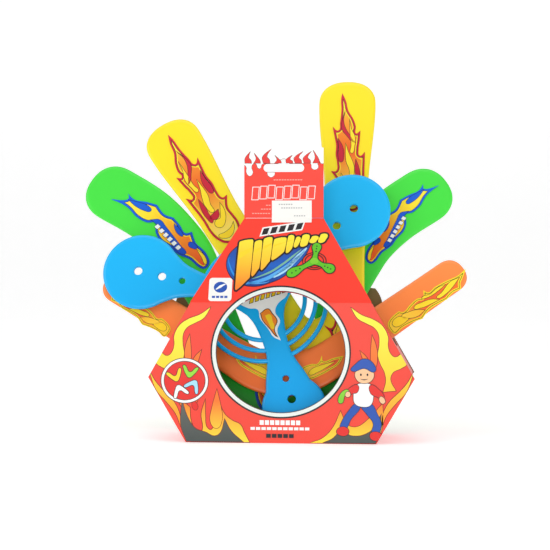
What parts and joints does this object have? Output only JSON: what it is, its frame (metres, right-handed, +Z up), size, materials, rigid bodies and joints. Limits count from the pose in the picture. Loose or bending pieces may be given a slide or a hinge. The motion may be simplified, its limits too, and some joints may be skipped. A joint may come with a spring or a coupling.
{
  "type": "boomerang set in a display carton",
  "caption": "Bent and three-bladed plastic boomerangs with flame stickers, standing in a folded card display carton with a window and a hang tab; each lifts out.",
  "frame": {"origin": "on the surface the carton stands on, under the middle of the whole set's box", "axes": "+Z up, -Y out of the carton's printed front, +X to the right of someone facing it"},
  "size_m": [0.3128, 0.1134, 0.288],
  "materials": {
    "printed_card": "glossy printed red with flames",
    "kraft_card": "plain brown inner face of the board",
    "paper_label": "matte white adhesive label",
    "blue_plastic": "smooth moulded plastic, soft gloss",
    "orange_plastic": "smooth moulded plastic, soft gloss",
    "yellow_plastic": "smooth moulded plastic, soft gloss",
    "green_plastic": "smooth moulded plastic, soft gloss",
    "flame_sticker": "glossy die-cut film printed with flames"
  },
  "bodies": {
    "carton": {"carton_front_panel": "printed_card", "carton_lower_side_left": "printed_card", "carton_lower_side_right": "printed_card", "carton_upper_side_left": "printed_card", "carton_upper_side_right": "printed_card", "carton_base_panel": "kraft_card", "carton_back_panel": "kraft_card", "carton_base_glue_flap": "kraft_card", "carton_back_glue_flap_left": "kraft_card", "carton_back_glue_flap_right": "kraft_card"},
    "header": {"carton_header_panel": "printed_card", "carton_hang_tab": "printed_card", "price_label": "paper_label", "round_cornered_sticker": "paper_label"},
    "blue": {"blue_tri_blade_boomerang": "blue_plastic", "blue_hub_sticker": "flame_sticker"},
    "orange": {"orange_boomerang": "orange_plastic", "orange_sticker_left": "flame_sticker", "orange_sticker_right": "flame_sticker", "orange_sticker_elbow_left": "flame_sticker", "orange_sticker_elbow_right": "flame_sticker"},
    "yellow": {"yellow_boomerang": "yellow_plastic", "yellow_sticker_left": "flame_sticker", "yellow_sticker_right": "flame_sticker", "yellow_sticker_elbow": "flame_sticker"},
    "green": {"green_boomerang": "green_plastic", "green_sticker_left": "flame_sticker", "green_sticker_right": "flame_sticker", "green_sticker_elbow": "flame_sticker"}
  },
  "joints": [
    {"name": "header_fold", "type": "hinge", "parent": "carton", "child": "header", "pos_m": [0.0129, -0.0566, 0.1079], "axis": [1, 0, 0], "range_deg": [0, 110]},
    {"name": "blue_lift", "type": "slide", "parent": "carton", "child": "blue", "axis": [0, 0.309, 0.9511], "range_m": [0, 0.13]},
    {"name": "orange_lift", "type": "slide", "parent": "carton", "child": "orange", "axis": [0, 0.309, 0.9511], "range_m": [0, 0.13]},
    {"name": "yellow_lift", "type": "slide", "parent": "carton", "child": "yellow", "axis": [0, 0.309, 0.9511], "range_m": [0, 0.13]},
    {"name": "green_lift", "type": "slide", "parent": "carton", "child": "green", "axis": [0, 0.309, 0.9511], "range_m": [0, 0.13]}
  ]
}
